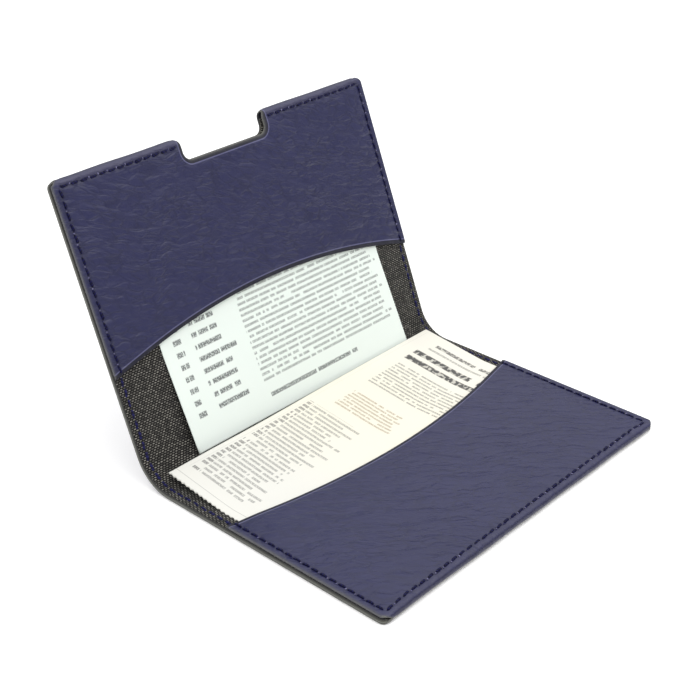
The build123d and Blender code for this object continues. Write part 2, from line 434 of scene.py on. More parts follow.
def leather_clouds():
    """Points to fill the leather with: close along the seams and turned edges, wider elsewhere."""
    seams = []
    for mx, mq, along_x in ROWS:
        u = mx if along_x else mq
        line = np.arange(u.min() - STITCH / 2 - 0.8, u.max() + STITCH / 2 + 0.8, 0.38)
        for off in (0, -0.35, 0.35, -0.7, 0.7, -1.1, 1.1):
            seams.append(np.stack([line, np.full(len(line), mq[0] + off)], -1) if along_x
                         else np.stack([np.full(len(line), mx[0] + off), line], -1))
    x_end = 69.5
    rolls = []
    for side in (-1, 1):
        q0, q1 = sorted((side * (COVER_S - 0.4), side * (POCKET_S + 0.4)))
        rolls.append(grid(-x_end, x_end, 1.1, q0, q1, 0.3))
    bend = grid(-x_end, x_end, 1.3, -BEND_S - 0.8, BEND_S + 0.8, 0.8)
    body = grid(-x_end, x_end, 1.6, -164, 164, 1.6)
    return [(np.vstack(seams), 0.3), (np.vstack(rolls), 0.26), (bend, 0.6), (body, 1.15)]


def build_leather():
    loops = leather_outline()
    rings = (0.07, 0.2, 0.42, 0.75, 1.05, 1.35, 1.7)
    points, faces = triangulate(loops, rings, leather_depth, leather_clouds())
    x, q = points[:, 0], points[:, 1]
    side, mouth, notch = edge_depth(points)
    depth = np.maximum(np.minimum.reduce([side, mouth, notch]), 0)
    edge_r = 0.42
    rounding = edge_r - np.sqrt(edge_r**2 - np.maximum(edge_r - depth, 0) ** 2)
    crease = np.minimum(mouth, notch)
    line = 0.07 * bell((crease - CREASE_D) / 0.24)
    thinned = 0.3 * smooth(1 - crease / 1.5)
    swell = 0.07 * waves(x, q, 34, 7, 3) + 0.035 * waves(x * 0.5, q, 9, 9, 4)
    swell = swell * smooth(depth / 6)
    pucker = bell((np.abs(q) - POCKET_S - 0.1) / 1.0) * smooth(depth / 2)
    swell = swell + 0.06 * pucker * waves(x, 0 * q, 4.2, 5, 17)
    sewn = sewn_in(x, q) * smooth(depth / 0.9)
    outer_t = rounding + line + thinned + sewn - swell
    inner_t = LEATHER - rounding * 0.7 - 0.5 * swell
    least_thick = 0.15
    top = place_leather(x, q, np.maximum(inner_t, outer_t + least_thick))
    bottom = place_leather(x, q, outer_t)
    # turned: where the turned edges get a painted sheen, a lighter purple-grey tint
    turned = bell((np.abs(q) - POCKET_S + 0.5) / 1.1) * smooth(depth / 2)
    painted = np.exp(-side / 0.3) * (side < mouth) * np.where(np.abs(q) > POCKET_S, 0.6, 1.0)
    rim = np.maximum(painted, np.exp(-notch / 0.3))
    fields = {"flat": np.stack([x, q, 0 * x], -1), "rim": rim.clip(0, 1), "turned": turned,
              "sewn": (0 * sewn, sewn), "inner": (np.ones(len(x)), np.zeros(len(x)))}
    return thick("leather", loops, faces, top, bottom, fields)


leather = build_leather()


# ---- plain sheets
def rounded(corners, step=0.3):
    """A loop through (x, y, radius) corners, counter-clockwise, with its corners rounded."""
    points = []
    n = len(corners)
    for i, (x, y, r) in enumerate(corners):
        p = np.array((x, y))
        a = np.array(corners[i - 1][:2]) - p
        b = np.array(corners[(i + 1) % n][:2]) - p
        a, b = a / np.linalg.norm(a), b / np.linalg.norm(b)
        half = math.acos(np.clip(a @ b, -1, 1)) / 2
        reach = r / math.tan(half)
        centre = p + (a + b) / np.linalg.norm(a + b) * (r / math.sin(half))
        u, v = p + a * reach - centre, p + b * reach - centre
        for t in np.linspace(0, 1, max(4, int(r / step) + 3)):
            w = u * (1 - t) + v * t
            points.append(tuple(centre + w / np.linalg.norm(w) * r))
    return np.array(points)


def polygon_depth(loop):
    """A function for how far inside a loop points are, negative outside it."""
    def depth(p):
        best = np.full(len(p), np.inf)
        for a, b in zip(loop, np.roll(loop, -1, 0)):
            run = b - a
            off = p - a
            t = np.clip((off[:, 0] * run[0] + off[:, 1] * run[1]) / (run @ run + 1e-12), 0, 1)
            best = np.minimum(best, np.hypot(off[:, 0] - t * run[0], off[:, 1] - t * run[1]))
        return np.where(enclosed([loop], p), best, -best)
    return depth


def plain_sheet(name, loop, cloud, gap, rings, surface):
    """A closed sheet on one loop. surface(x, y, side) gives its top (1) or bottom (0) points."""
    depth = polygon_depth(loop)
    points, faces = triangulate([loop], rings, depth, [(cloud, gap)])
    x, y = points[:, 0], points[:, 1]
    fields = {"flat": np.stack([x, y, 0 * x], -1), "top": (np.ones(len(x)), np.zeros(len(x)))}
    return thick(name, [loop], faces, surface(x, y, 1), surface(x, y, 0), fields)


def core_outline(half, far_d, notch_gap):
    """The outline of a layer inside the strip, in x and s, with the thumb notch in its rear end."""
    end = BEND_S + far_d - TANGENT
    floor = BEND_S + NOTCH_D - notch_gap - TANGENT
    n = NOTCH_HALF + notch_gap
    corner_r, lip_r = 2.0, 0.5
    return [(-half, -end, corner_r), (half, -end, corner_r), (half, end, corner_r), (n, end, lip_r),
            (n, floor, NOTCH_R), (-n, floor, NOTCH_R), (-n, end, lip_r), (-half, end, corner_r)]


def core_sheet(name, half, far_d, notch_gap, low, high, step, ripple):
    """A layer inside the strip: half wide, up to far_d in each wing, from low to high in h."""
    loop = resample(rounded(core_outline(half, far_d, notch_gap)), step)
    end = BEND_S + far_d - TANGENT
    def surface(x, s, side):
        h = high if side else low
        rise = ripple * waves(x, s, 17, 8, 11) * smooth((HALF - np.abs(x)) / 6) if side else 0
        return strip(x, s, h + rise)
    bend = grid(-half, half, 1.2, -BEND_S - 0.6, BEND_S + 0.6, 0.75)
    body = grid(-half, half, 2.4, -end, end, 2.4)
    return plain_sheet(name, loop, np.vstack([bend, body]), 0.55, (0.5,), surface)


LINING_HALF = HALF - 0.25
LINING_D = 97.2
lining = core_sheet("lining", LINING_HALF, LINING_D, 0.15, -0.4, -0.02, 0.9, 0.03)
interliner = core_sheet("interliner", HALF - 0.35, 96.6, 0.12, -0.86, -0.44, 1.6, 0.0)


# ---- painted edges of the cover
# How far the band stands out, and its h, round the side of the cover.
EDGE_PROFILE = [(-1.0, -0.04), (-0.32, -0.02), (0.02, -0.16), (0.16, -0.5), (0.2, -1.0),
                (0.16, -1.5), (0.0, -1.84), (-0.34, -1.985), (-1.0, -1.97)]


def build_edge(name, sx):
    """The band of edge paint over the side of the cover, round its corners at both ends."""
    end = BEND_S + LENGTH - 0.9 - TANGENT
    s = np.concatenate([np.arange(-end, -93, 0.35), np.arange(-93, -9, 1.1), np.arange(-9, 9, 0.5),
                        np.arange(9, 93, 1.1), np.arange(93, end, 0.35), [end]])
    points, flat = [], []
    fat = 1 + 0.16 * waves(s, 0 * s, 8, 6, 21 + sx)
    r = SIDE_ROLL_R
    for i, si in enumerate(s):
        d = abs(si) - BEND_S + TANGENT
        edge_x = float(half_width_at(np.array(d)))
        low = POCKET_SIDE - r - math.sqrt(max(r * r - max(d - LENGTH + r, 0) ** 2, 0.04))
        shrink = min(1.0, -low / STACK)
        for out, ph in EDGE_PROFILE:
            x = edge_x + (out if out < 0 else out * fat[i]) - 0.05
            points.append((sx * x, si, ph * shrink))
            flat.append((si, ph, 0))
    points = np.array(points)
    n, m = len(s), len(EDGE_PROFILE)
    faces = [(i * m + j, i * m + (j + 1) % m, (i + 1) * m + (j + 1) % m, (i + 1) * m + j)
             for i in range(n - 1) for j in range(m)]
    faces += [tuple(range(m))[::-1], tuple(range((n - 1) * m, n * m))]
    if sx < 0:
        faces = [face[::-1] for face in faces]
    world = strip(points[:, 0], points[:, 1], points[:, 2])
    return make_object(name, world, faces, {"flat": np.array(flat)})


edge_left = build_edge("edge_paint_left", -1)
edge_right = build_edge("edge_paint_right", 1)


# ---- stitches
def stitch_shape(length):
    """One stitch, as (along, across, up) and faces: a bowed bar that dips into both its holes."""
    rings, around = 11, 8
    half_wide, half_high = 0.4, 0.24
    points, faces = [], []
    for i in range(rings):
        t = -1 + 2 * i / (rings - 1)
        fat = math.sqrt(max(1 - abs(t) ** 5, 0.06))
        up = 0.1 - 0.34 * abs(t) ** 4
        for j in range(around):
            a = math.tau * j / around
            points.append((t * length / 2, half_wide * fat * math.cos(a),
                           up + half_high * fat * math.sin(a)))
    for i in range(rings - 1):
        for j in range(around):
            a, b = i * around + j, i * around + (j + 1) % around
            faces.append((a, a + around, b + around, b))
    faces.append(tuple(range(around)))
    faces.append(tuple(range((rings - 1) * around, rings * around))[::-1])
    return np.array(points), faces


def bead_shape():
    """The turn of thread between two stitches, as (along, across, up) and faces. It carries a
    painted glint.
    """
    rings, around = 5, 7
    half_long, half_wide, half_high = 0.24, 0.34, 0.16
    points = [(0.0, 0.0, half_high)]
    for i in range(1, rings):
        a = math.pi * i / rings
        for j in range(around):
            b = math.tau * j / around
            points.append((half_long * math.sin(a) * math.cos(b),
                           half_wide * math.sin(a) * math.sin(b), half_high * math.cos(a)))
    points.append((0.0, 0.0, -half_high))
    faces = [(0, 1 + j, 1 + (j + 1) % around) for j in range(around)]
    for i in range(rings - 2):
        for j in range(around):
            a, b = 1 + i * around + j, 1 + i * around + (j + 1) % around
            faces.append((a, a + around, b + around, b))
    last = 1 + (rings - 2) * around
    faces += [(len(points) - 1, last + (j + 1) % around, last + j) for j in range(around)]
    return np.array(points), faces


BEAD_SHARE = 0.8  # of the gaps between stitches
BEAD_OUT = 0.3  # how far outside its row a bead shows


def build_stitches():
    """Every stitch and bead in one piece. tone is 0 on leather, 0.5 on the lining, 1 on a bead."""
    stitch, bead = stitch_shape(STITCH), bead_shape()
    points, faces, flat, tone = [], [], [], []
    def add(shape, where, colour, fat):
        start = sum(len(p) for p in points)
        along, across, up = shape[0].T
        slant = rng.normal(0.11, 0.03)
        scale = rng.normal(1.0, 0.03)
        aside, above = rng.normal(0, 0.04), rng.normal(0, 0.015)
        points.append(where(along * scale, across * fat + along * slant + aside, up * fat + above))
        flat.append(np.stack([along + 10 * len(flat), across, up], -1))
        tone.append(np.full(len(along), colour))
        faces.extend(tuple(start + k for k in f) for f in shape[1])

    for mx, mq, along_x in ROWS:
        for i, (x, q) in enumerate(zip(mx, mq)):
            def on_leather(a, c, up, x=x, q=q, along_x=along_x):
                px, pq = (x + a, q - c) if along_x else (x + c, q + a)
                return place_leather(px, pq, 0.04 - up)
            add(stitch, on_leather, 0.0, rng.normal(1.0, 0.06))
            if i + 1 < len(mx) and rng.random() < BEAD_SHARE:
                nx, nq = (x + mx[i + 1]) / 2, (q + mq[i + 1]) / 2
                def between(a, c, up, x=nx, q=nq, along_x=along_x):
                    if along_x:
                        px = x + a
                        pq = q - c + math.copysign(BEAD_OUT, q * (COVER_S - abs(q)))
                    else:
                        px = x + c + BEAD_OUT * math.copysign(1, x)
                        pq = q + a
                    return place_leather(px, pq, 0.08 - up)
                add(bead, between, 1.0, rng.uniform(0.7, 1.25))
    row_end = BEND_S + float(MOUTH_Y + math.sqrt(MOUTH_R**2 - ROW_X**2)) - TANGENT - ROW_GAP
    for sx in (-1, 1):
        for s in row_marks(-row_end, row_end):
            def on_lining(a, c, up, x=sx * ROW_X, s=s):
                return strip(x + c, s + 1.2 * a, up - 0.03)
            add(stitch, on_lining, 0.5, rng.normal(1.15, 0.1))
    fields = {"flat": np.vstack(flat), "tone": np.concatenate(tone)}
    return make_object("stitching", np.vstack(points), faces, fields)


stitching = build_stitches()


# ---- papers
def scalloped(x0, x1, y0, y1, torn_side, pitch, deep):
    """A rectangle's outline. Its left (-1) or right (1) side is a torn perforation."""
    ys = np.arange(y0 + 0.25, y1 - 0.1, 0.25)
    torn = deep * np.abs(np.sin(math.pi * (ys - y0) / pitch))
    plain = np.arange(y0 + 2.0, y1 - 1.0, 2.0)
    def upright(x, torn_here, inward):
        return np.stack([x + inward * torn, ys] if torn_here else [0 * plain + x, plain], -1)
    right, left = upright(x1, torn_side > 0, -1), upright(x0, torn_side < 0, 1)
    xs = np.arange(x0 + 1.2, x1 - 0.6, 1.2)
    low = np.stack([xs, 0 * xs + y0], -1)
    high = np.stack([xs[::-1], 0 * xs + y1], -1)
    return np.vstack([[(x0, y0)], low, [(x1, y0)], right, [(x1, y1)], high, [(x0, y1)], left[::-1]])


def lift_curve(d, bend_at, start, lift):
    """How far a paper has risen at d: nothing past bend_at and lift at its start, eased."""
    t = np.clip((bend_at - d) / (bend_at - start), 0, 1)
    return lift * (0.86 * t + 0.14 * t * t * (3 - 2 * t))


CARD_X0, CARD_X1 = -50.0, 55.0
CARD_D0, CARD_D1 = 1.5, 75.5
CARD_BEND_D = 36.0  # where it starts to rise off the lining, towards the fold


def card_surface(x, d, side):
    h = 0.16 + lift_curve(d, CARD_BEND_D, CARD_D0, 2.5) + (0.27 if side else 0.0)
    h = h + 0.05 * waves(x, d, 60, 5, 31) * smooth((40 - d) / 20) * smooth((d - CARD_D0) / 12)
    return straight(1, x, d, h)


card = plain_sheet("rear_card", scalloped(CARD_X0, CARD_X1, CARD_D0, CARD_D1, 1, 1.05, 0.28),
                   grid(CARD_X0, CARD_X1, 2.0, CARD_D0, CARD_D1, 2.0), 1.4, (0.35,), card_surface)

CERT_X = 65.3
CERT_D0, CERT_D1 = 4.2, 93.4
CERT_BEND_D = 33.5
CERT_RISE = 3.3
# Each leaf, from the lowest: how much smaller it is, how much later it starts and how it curls.
LEAVES = ((0.0, 0.25, 0.1), (0.35, 0.6, 0.0), (0.15, 0.4, 0.0), (0.0, 0.0, -0.08))


def build_leaf(k):
    inset, late, curl_up = LEAVES[k]
    start = CERT_D0 + late
    loop = scalloped(-CERT_X + inset, CERT_X - inset * 0.6, start, CERT_D1 - inset, -1, 2.0, 0.5)
    def surface(x, d, side):
        askew = d - 1.6 * smooth((x + 40) / 100) * smooth((30 - d) / 24)
        bend_d = CERT_BEND_D - 3.2 * smooth((np.abs(x) - 48) / 12)
        t = np.clip((bend_d - d) / (bend_d - CERT_D0), 0, 1)
        rise = CERT_RISE * t**1.15 * (1 - 0.1 * smooth((x + 20) / 80))
        wave = 0.08 * waves(x, d, 46, 5, 41) * smooth((31 - d) / 12)
        stack = k * (0.05 + 0.07 * smooth((30 - d) / 16))
        curl = curl_up * np.exp(-np.maximum(d - start, 0) / 0.6)
        thickness = 0.05 + 0.04 * t if side else 0.0
        return straight(-1, x, askew, 0.11 + stack + rise + wave + curl + thickness)
    cloud = grid(-65, 65, 2.4, start, CERT_D1, 2.4)
    return plain_sheet(f"certificate_leaf_{k + 1}", loop, cloud, 1.7, (0.35,), surface)


leaves = [build_leaf(k) for k in range(len(LEAVES))]


# ---- materials
class Field:
    """A socket of a node tree that can be added, multiplied and compared."""

    def __init__(self, tree, socket):
        self.tree, self.socket = tree, socket

    def math(self, operation, *others, clamp=False):
        node = self.tree.nodes.new("ShaderNodeMath")
        node.operation, node.use_clamp = operation, clamp
        for i, value in enumerate((self, *others)):
            if isinstance(value, Field):
                self.tree.links.new(value.socket, node.inputs[i])
            else:
                node.inputs[i].default_value = value
        return Field(self.tree, node.outputs[0])

    def __add__(self, o): return self.math("ADD", o)
    def __sub__(self, o): return self.math("SUBTRACT", o)
    def __mul__(self, o): return self.math("MULTIPLY", o)
    def __truediv__(self, o): return self.math("DIVIDE", o)
    def floor(self): return self.math("FLOOR")
    def fract(self): return self.math("FRACT")
    def abs(self): return self.math("ABSOLUTE")
    def sin(self): return self.math("SINE")
    def power(self, o): return self.math("POWER", o)
    def maximum(self, o): return self.math("MAXIMUM", o)
    def minimum(self, o): return self.math("MINIMUM", o)
    def above(self, o): return self.math("GREATER_THAN", o)
    def below(self, o): return self.math("LESS_THAN", o)
    def clamp(self): return self.math("ADD", 0.0, clamp=True)
    def flip(self): return (self * -1.0) + 1.0

    def between(self, low, high):
        node = self.tree.nodes.new("ShaderNodeMapRange")
        node.interpolation_type = "SMOOTHSTEP"
        self.tree.links.new(self.socket, node.inputs[0])
        node.inputs[1].default_value, node.inputs[2].default_value = low, high
        return Field(self.tree, node.outputs[0])


class Paint:
    """A material under construction."""

    def __init__(self, name, **sockets):
        self.material = bpy.data.materials.new(name)
        self.material.use_nodes = True
        self.tree = self.material.node_tree
        self.shader = self.tree.nodes["Principled BSDF"]
        for key, value in sockets.items():
            self.shader.inputs[key.replace("_", " ")].default_value = value
        self.bumps = None

    def attribute(self, name):
        node = self.tree.nodes.new("ShaderNodeAttribute")
        node.attribute_name = name
        return node

    def value(self, name):
        return Field(self.tree, self.attribute(name).outputs["Fac"])

    def flat(self):
        node = self.tree.nodes.new("ShaderNodeSeparateXYZ")
        self.tree.links.new(self.attribute("flat").outputs["Vector"], node.inputs[0])
        return tuple(Field(self.tree, o) for o in node.outputs)

    def vector(self, x, y, z=0.0):
        node = self.tree.nodes.new("ShaderNodeCombineXYZ")
        for i, v in enumerate((x, y, z)):
            if isinstance(v, Field):
                self.tree.links.new(v.socket, node.inputs[i])
            else:
                node.inputs[i].default_value = v
        return node.outputs[0]

    def texture(self, kind, place, output, **inputs):
        node = self.tree.nodes.new(kind)
        self.tree.links.new(self.vector(*place), node.inputs["Vector"])
        for key, value in inputs.items():
            node.inputs[key].default_value = value
        return node, Field(self.tree, node.outputs[output])

    def noise(self, place, detail=2.0, rough=0.5):
        return self.texture("ShaderNodeTexNoise", place, "Fac", Scale=1.0, Detail=detail,
                            Roughness=rough)[1]

    def cells(self, place):
        """The distance from the borders of cells about 1 across."""
        node, distance = self.texture("ShaderNodeTexVoronoi", place, "Distance", Scale=1.0)
        node.feature = "DISTANCE_TO_EDGE"
        return distance

    def white(self, place):
        return self.texture("ShaderNodeTexWhiteNoise", place, "Value")[1]

    def mix(self, factor, a, b):
        node = self.tree.nodes.new("ShaderNodeMix")
        node.data_type = "RGBA"
        for i, v in ((0, factor), (6, a), (7, b)):
            if isinstance(v, Field):
                self.tree.links.new(v.socket, node.inputs[i])
            elif isinstance(v, bpy.types.NodeSocket):
                self.tree.links.new(v, node.inputs[i])
            else:
                node.inputs[i].default_value = (*v, 1.0) if isinstance(v, tuple) else v
        return node.outputs[2]

    def colour(self, socket):
        self.tree.links.new(socket, self.shader.inputs["Base Color"])

    def rough(self, field):
        self.tree.links.new(field.socket, self.shader.inputs["Roughness"])

    def bump(self, height, distance, strength=1.0):
        node = self.tree.nodes.new("ShaderNodeBump")
        node.inputs["Strength"].default_value = strength
        node.inputs["Distance"].default_value = distance
        self.tree.links.new(height.socket, node.inputs["Height"])
        if self.bumps is not None:
            self.tree.links.new(self.bumps, node.inputs["Normal"])
        self.bumps = node.outputs[0]
        self.tree.links.new(self.bumps, self.shader.inputs["Normal"])


def leather_material():
    m = Paint("navy_leather", IOR=1.5, Sheen_Weight=0.08, Sheen_Roughness=0.35,
              Sheen_Tint=(0.75, 0.72, 1.0, 1.0))
    x, q, _ = m.flat()
    m_q = q.abs()
    rear = q.between(-60.0, 60.0)
    pocket = (m_q - ROLL_MIDDLE).between(-1.5, 1.5)
    cover = pocket.flip()

    # the grain: long creases that drift on the pockets, round pebbles on the cover
    lean = rear * -0.42 + 0.75
    cos, sin = (lean + math.pi / 2).sin(), lean.sin()
    along, across = x * cos + q * sin, q * cos - x * sin
    drift = m.noise((x * 0.03, q * 0.03, 3.0), 1.0) * 9.0
    sway = m.noise((along * 0.16, across * 0.22, 8.0), 1.0)
    u, v = along + drift, across + drift + sway * 2.2
    creases = m.cells((u * 0.19, v * 0.52)).between(0.0, 0.2)
    small = m.cells((u * 0.3, v * 0.8, 4.0)).between(0.0, 0.25)
    wavy = m.noise((x * 0.3, q * 0.3, 2.0), 1.0) * 2.0
    pebbles = m.cells((x * 0.36 + wavy * 0.6, q * 0.44 + wavy * 0.5, 7.0)).between(0.0, 0.22)
    grain = creases * pocket + pebbles * cover
    soft = m.noise((x * 0.22, q * 0.22, 9.0), 1.0, 0.45)
    folds = m.noise((u * 0.09, v * 0.3, 5.0), 1.0, 0.45)
    shown = m.noise((x * 0.12, q * 0.12, 6.0), 1.0).between(0.3, 0.65)
    broad = m.noise((x * 0.018, q * 0.026), 3.0)
    pores = m.noise((x * 3.2, q * 3.2), 2.0)

    # how far inside the mouths and the notch, for the bevel and the pressed line beside them
    from_centre = m_q * -1.0 + MOUTH_Q
    mouth = (x * x + from_centre * from_centre).power(0.5) - MOUTH_R + m_q.below(POCKET_S) * FAR
    past_x = (x.abs() - (NOTCH_HALF - NOTCH_R)).maximum(0.0)
    past_q = ((q - ROLL_MIDDLE).abs() - (NOTCH_REACH - NOTCH_R)).maximum(0.0)
    crease = mouth.minimum((past_x * past_x + past_q * past_q).power(0.5) - NOTCH_R)
    bevel = crease.between(1.3, 1.6).flip()
    line = (crease - 1.65).abs().between(0.08, 0.3).flip()
    roll = (m_q - COVER_S) / ROLL_ARC
    # dark: painted shade, a darker band round the middle of each turned edge
    dark = (roll - 0.6).abs().between(0.04, 0.17).flip()
    # under: a painted reflection of the pale floor, a beige band low on the turned edge
    under = (roll - 0.34).abs().between(0.08, 0.18).flip()
    rim, turned, sewn, inner = (m.value(name) for name in ("rim", "turned", "sewn", "inner"))

    navy, light_navy, shade = (0.009, 0.01, 0.054), (0.014, 0.015, 0.072), (0.005, 0.005, 0.028)
    base = m.mix(broad, navy, light_navy)
    base = m.mix(grain.flip() * (shown * 0.3 + 0.1), base, shade)
    # painted sheen: the turned edges lighter and purple-grey, more so on the rear wing
    base = m.mix(turned * (rear * 0.4 + 0.2), base, (0.06, 0.057, 0.11))
    # painted shade: the darker band round the middle of the turned edges
    base = m.mix(dark * 0.6, base, shade)
    # painted reflection: the pale floor as a beige band low on the front wing's turned edge
    base = m.mix(under * rear.flip() * 0.8, base, (0.3, 0.295, 0.26))
    # painted shade in the troughs and holes that the seams press into the leather
    base = m.mix((sewn * 3.0).clamp() * 0.45, base, (0.004, 0.004, 0.024))
    # the bevels at the mouths and the notch are darker: dark edge dye, and painted shade where the
    # lip turns down
    base = m.mix(bevel * 0.9, base, (0.003, 0.003, 0.012))
    # painted highlight: a light line along the pressed crease beside the mouths and the notch
    base = m.mix(line * 0.9, base, (0.1, 0.1, 0.2))
    base = m.mix(rim, base, (0.13, 0.13, 0.115))
    base = m.mix(inner * 0.8, base, (0.012, 0.012, 0.02))
    m.colour(base)
    m.rough((folds * 0.16) + 0.32 + rim * 0.1 + bevel * 0.3)
    m.bump(folds * pocket + soft * cover, 0.0009, 0.9)
    m.bump(grain * (shown * 0.4 + 0.6), 0.00007)
    m.bump(small * pocket, 0.000025)
    m.bump(pores, 0.00003, 0.5)
    return m.material


def edge_material():
    m = Paint("edge_paint", IOR=1.5, Coat_Weight=0.2, Coat_Roughness=0.3)
    s, h, _ = m.flat()
    blotch = m.noise((s * 0.3, h * 0.8), 4.0)
    lines = m.noise((s * 0.4, h * 6.0), 3.0)
    base = m.mix(blotch, (0.028, 0.028, 0.018), (0.055, 0.055, 0.04))
    # painted highlight: a lighter line along the rounded middle of the band
    ridge_highlight = (h + 1.0 + blotch * 0.1).abs().between(0.04, 0.3).flip()
    base = m.mix(ridge_highlight * 0.75, base, (0.14, 0.145, 0.13))
    base = m.mix(h.between(-0.5, -0.3) * 0.93, base, (0.004, 0.004, 0.004))
    base = m.mix(lines.between(0.55, 0.75) * 0.35, base, (0.02, 0.02, 0.014))
    m.colour(base)
    m.rough(blotch * 0.2 + 0.4)
    m.bump(lines, 0.00012, 0.6)
    m.bump(blotch, 0.0003, 0.4)
    return m.material


def lining_material():
    m = Paint("woven_lining", Roughness=0.88, Specular_IOR_Level=0.25, Sheen_Weight=0.1,
              Sheen_Roughness=0.5)
    x, s, _ = m.flat()
    wander = m.noise((x * 0.12, s * 0.12), 2.0)
    v = (s + wander * 0.6) * 1.4
    u = (x + wander * 0.6) * 0.8 + v.floor() * 0.5 + s * 0.12
    yarn = m.white((u.floor(), v.floor()))
    float_u = (u.fract() - 0.5).abs().between(0.16, 0.48).flip()
    float_v = (v.fract() - 0.5).abs().between(0.1, 0.46).flip()
    height = float_u * float_v
    slub = m.noise((x * 0.5, s * 3.0), 3.0)
    fibre = m.noise((x * 8.0, s * 8.0), 3.0)
    base = m.mix(float_v * 0.6 + height * 0.4, (0.0008, 0.0008, 0.0008), (0.006, 0.0057, 0.005))
    base = m.mix(height.power(1.9) * (yarn * 0.8 + 0.2), base, (0.3, 0.285, 0.25))
    base = m.mix(slub.between(0.5, 0.75) * 0.5, base, (0.01, 0.0095, 0.009))
    m.colour(base)
    m.bump(height, 0.0002, 0.9)
    m.bump(fibre, 0.00006, 0.6)
    return m.material


def board_material():
    m = Paint("interliner_board", Roughness=0.85)
    x, s, _ = m.flat()
    speck = m.noise((x * 2.0, s * 2.0), 4.0)
    m.colour(m.mix(speck, (0.05, 0.048, 0.04), (0.1, 0.096, 0.08)))
    m.bump(speck, 0.0001, 0.5)
    return m.material


def thread_material():
    m = Paint("navy_thread", Specular_IOR_Level=0.2)
    along, across, _ = m.flat()
    tone = m.value("tone")
    ply = ((along * 5.2 + across * 3.2).sin() * 0.5 + 0.5)
    fibre = m.noise((along * 6.0, across * 14.0), 2.0)
    dark = m.mix(ply, (0.001, 0.001, 0.016), (0.003, 0.003, 0.05))
    royal = m.mix(ply, (0.003, 0.003, 0.022), (0.013, 0.013, 0.085))
    base = m.mix(tone.above(0.25), dark, royal)  # royal is for the lining's row and the beads
    # painted highlight: light lilac glints on the beads
    painted_glint = m.noise((along * 0.13, 0.0), 0.0)
    base = m.mix(tone.above(0.75) * painted_glint.between(0.25, 0.7), base, (0.2, 0.19, 0.33))
    m.colour(base)
    m.rough(fibre * 0.2 + 0.5)
    m.bump(ply, 0.00012, 0.8)
    m.bump(fibre, 0.00004, 0.5)
    return m.material


def print_block(m, u, v, u0, u1, v0, v1, pitch, fill, ragged, letters, seed):
    """Greeked print: rows of blots along u, with gaps for words and a ragged end. No letters."""
    row = ((v - v0) / pitch).floor()
    part = ((v - v0) / pitch).fract()
    line = (part - 0.5).abs().between(fill / 2 + 0.06, fill / 2 - 0.06)
    end = m.white((row, seed + 3.7)) * -ragged + u1
    inside = u.above(u0) * (u - end).below(0.0) * v.above(v0) * v.below(v1)
    words = m.noise((u * (letters * 0.28), row * 5.3, seed), 0.0).above(0.36)
    blots = m.noise((u * letters, v * (letters * 0.8) + row * 7.1, seed + 9.0), 1.0)
    return line * inside * words * (blots.between(0.38, 0.52) * 0.65 + 0.35)


def ink_of(m, u, v, blocks):
    total = None
    for strength, *block in blocks:
        ink = print_block(m, u, v, *block) * strength
        total = ink if total is None else total + ink
    return total


# Blocks of print: the ink's strength, from and to along the rows, from and to across them, the
# rows' pitch, the share of it inked, how ragged the ends are, how fine the blots are, a seed.
CARD_PRINT = (
    (0.62, -15.0, 53.0, 12.5, 60.0, 1.95, 0.46, 5.0, 2.4, 1.0),
    (0.85, -45.0, -41.5, 10.6, 60.0, 4.2, 0.42, 0.2, 2.6, 4.0),
    (0.85, -37.0, -20.0, 10.6, 60.0, 4.2, 0.38, 7.0, 2.0, 6.0),
    (0.8, -14.0, 30.0, 6.6, 9.2, 2.6, 0.55, 0.5, 1.8, 8.0),
)
CERTIFICATE_PRINT = (
    (0.52, 9.8, 34.0, -58.0, -2.0, 2.05, 0.5, 9.0, 2.2, 2.0),
    (0.7, 6.8, 9.4, -58.0, -2.0, 2.05, 0.62, 0.3, 2.6, 5.0),
    (0.6, 12.0, 48.0, 22.0, 40.0, 1.85, 0.44, 6.0, 2.2, 11.0),
    (0.95, 11.0, 46.0, 43.0, 53.0, 5.0, 0.56, 2.0, 0.62, 13.0),
    (0.8, 14.0, 46.0, 57.6, 60.6, 3.0, 0.6, 1.0, 0.95, 17.0),
    (0.5, 13.0, 46.0, 54.6, 56.8, 2.2, 0.5, 1.0, 1.7, 19.0),
)
BROWN_PRINT = ((0.6, 13.0, 38.0, 3.0, 15.0, 1.7, 0.5, 4.0, 2.2, 7.0),)


def card_material():
    m = Paint("mint_card", Roughness=0.62, Specular_IOR_Level=0.3)
    x, d, _ = m.flat()
    tone = m.noise((x * 0.03, d * 0.03), 3.0)
    fibre = m.noise((x * 3.0, d * 3.0), 3.0)
    guard = m.noise((x * 0.5, d * 0.5), 2.0)
    base = m.mix(tone, (0.79, 0.86, 0.80), (0.84, 0.90, 0.855))
    base = m.mix(guard * 0.12, base, (0.78, 0.86, 0.8))
    ink = ink_of(m, x, d, CARD_PRINT).clamp() * m.value("top")
    m.colour(m.mix(ink, base, (0.07, 0.075, 0.08)))
    m.bump(fibre, 0.00003, 0.5)
    return m.material


